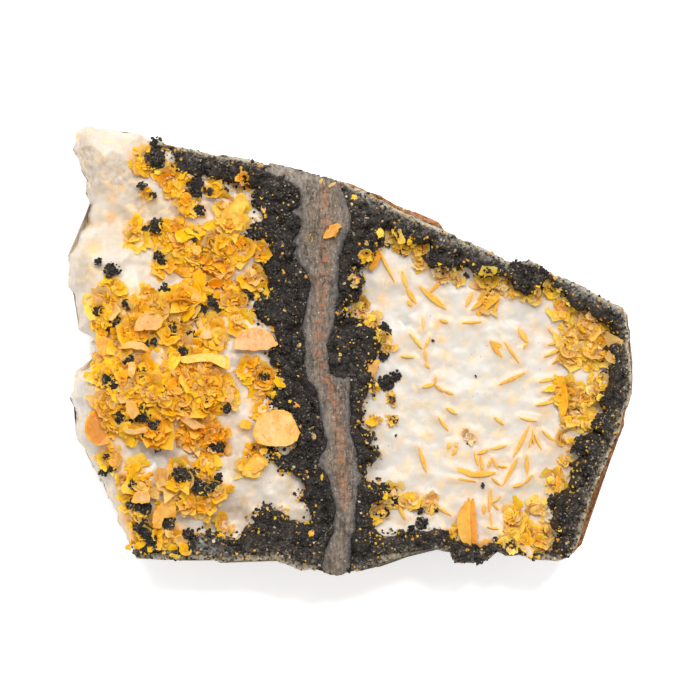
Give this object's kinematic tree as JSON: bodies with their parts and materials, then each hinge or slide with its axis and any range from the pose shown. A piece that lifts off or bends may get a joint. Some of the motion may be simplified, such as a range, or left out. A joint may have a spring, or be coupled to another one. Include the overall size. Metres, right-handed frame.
{
  "type": "wulfenite specimen",
  "caption": "Broken plate of brown rock with two shallow vugs lined in black botryoidal crust and white calcite, set with thin square orange wulfenite tablets; rests on its flat back.",
  "frame": {"origin": "centre of the plate's outline, at the flat back it rests on", "axes": "+X east along the plate's long side, away from the rosette side; +Y north, to the picture's top; +Z out of the vugs, up"},
  "size_m": [0.1, 0.0798, 0.0239],
  "materials": {
    "rock": "rough, dull, rust-stained",
    "black_crust": "botryoidal, half dull with glints",
    "calcite": "milky, waxy",
    "wulfenite": "adamantine, slightly see-through",
    "peach_wulfenite": "adamantine, slightly see-through"
  },
  "bodies": {
    "root": {"black_crust_east": "black_crust", "black_crust_west": "black_crust", "blade_01": "wulfenite", "blade_02": "wulfenite", "blade_03": "wulfenite", "blade_04": "wulfenite", "blade_05": "wulfenite", "blade_06": "wulfenite", "blade_07": "wulfenite", "blade_08": "wulfenite", "blade_09": "wulfenite", "blade_10": "wulfenite", "blade_11": "wulfenite", "blade_12": "wulfenite", "blade_13": "wulfenite", "blade_14": "wulfenite", "blade_15": "wulfenite", "blade_16": "wulfenite", "blade_17": "wulfenite", "blade_18": "wulfenite", "calcite_east": "calcite", "calcite_west": "calcite", "host_rock": "rock", "knob_pair_east_calcite": "black_crust", "knob_south_calcite": "black_crust", "tablet_on_rib": "peach_wulfenite", "tablet_orange_standing": "wulfenite", "tablet_pale_rib": "peach_wulfenite", "tablet_peach_lower": "peach_wulfenite", "tablet_peach_upper": "peach_wulfenite", "wulfenite_east_middle": "wulfenite", "wulfenite_east_rosette": "wulfenite", "wulfenite_east_shoulder": "wulfenite", "wulfenite_east_side": "wulfenite", "wulfenite_fan": "wulfenite", "wulfenite_middle_mass": "wulfenite", "wulfenite_north_east": "wulfenite", "wulfenite_north_middle": "wulfenite", "wulfenite_north_pocket": "wulfenite", "wulfenite_north_rim": "wulfenite", "wulfenite_rib_foot": "wulfenite", "wulfenite_south_east": "wulfenite", "wulfenite_south_fan": "wulfenite", "wulfenite_south_middle": "wulfenite", "wulfenite_south_pocket": "wulfenite", "wulfenite_south_rosette": "wulfenite", "wulfenite_south_west": "wulfenite", "wulfenite_upper_mass": "wulfenite", "wulfenite_west_tablets": "wulfenite"}
  },
  "joints": []
}
